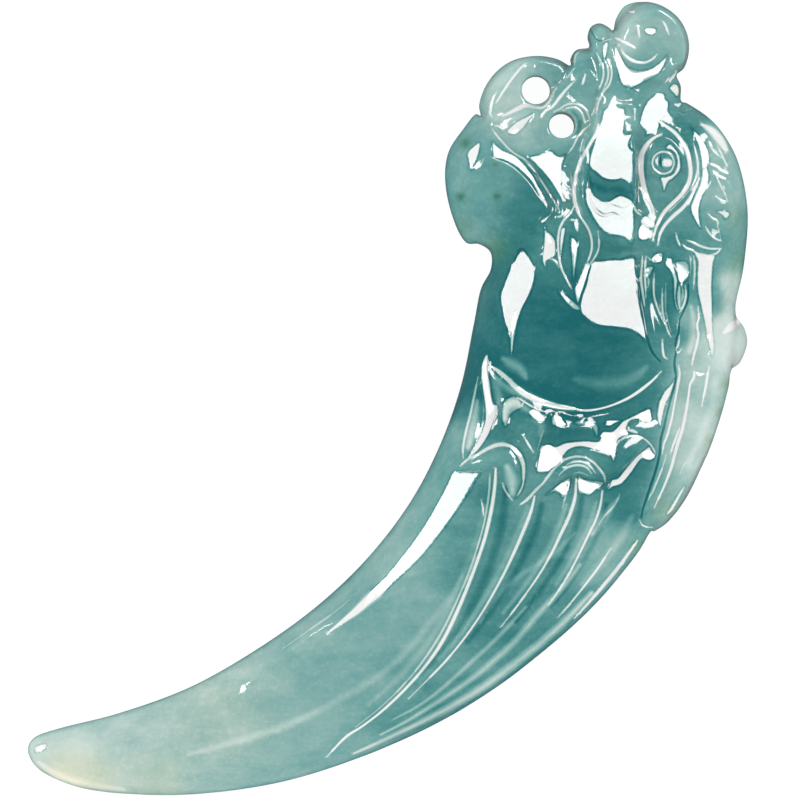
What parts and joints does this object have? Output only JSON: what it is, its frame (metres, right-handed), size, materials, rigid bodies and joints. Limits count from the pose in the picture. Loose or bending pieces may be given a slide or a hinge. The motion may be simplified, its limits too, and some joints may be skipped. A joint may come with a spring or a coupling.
{
  "type": "carved jadeite dragon pendant",
  "caption": "Tusk-shaped stone pendant, rounded and polished, its top carved in relief as a dragon's head over a band of scrolls, drilled through for a cord.",
  "frame": {"origin": "middle of the pendant's outline, on its flat back", "axes": "+X to the right seen from the front, +Y up towards the crest curl, +Z out of the carved face"},
  "size_m": [0.0505, 0.0557, 0.0086],
  "materials": {
    "jadeite": "high polish, translucent bluish green, paler at thin edges"
  },
  "bodies": {
    "root": {"carved_pendant": "jadeite"}
  },
  "joints": []
}
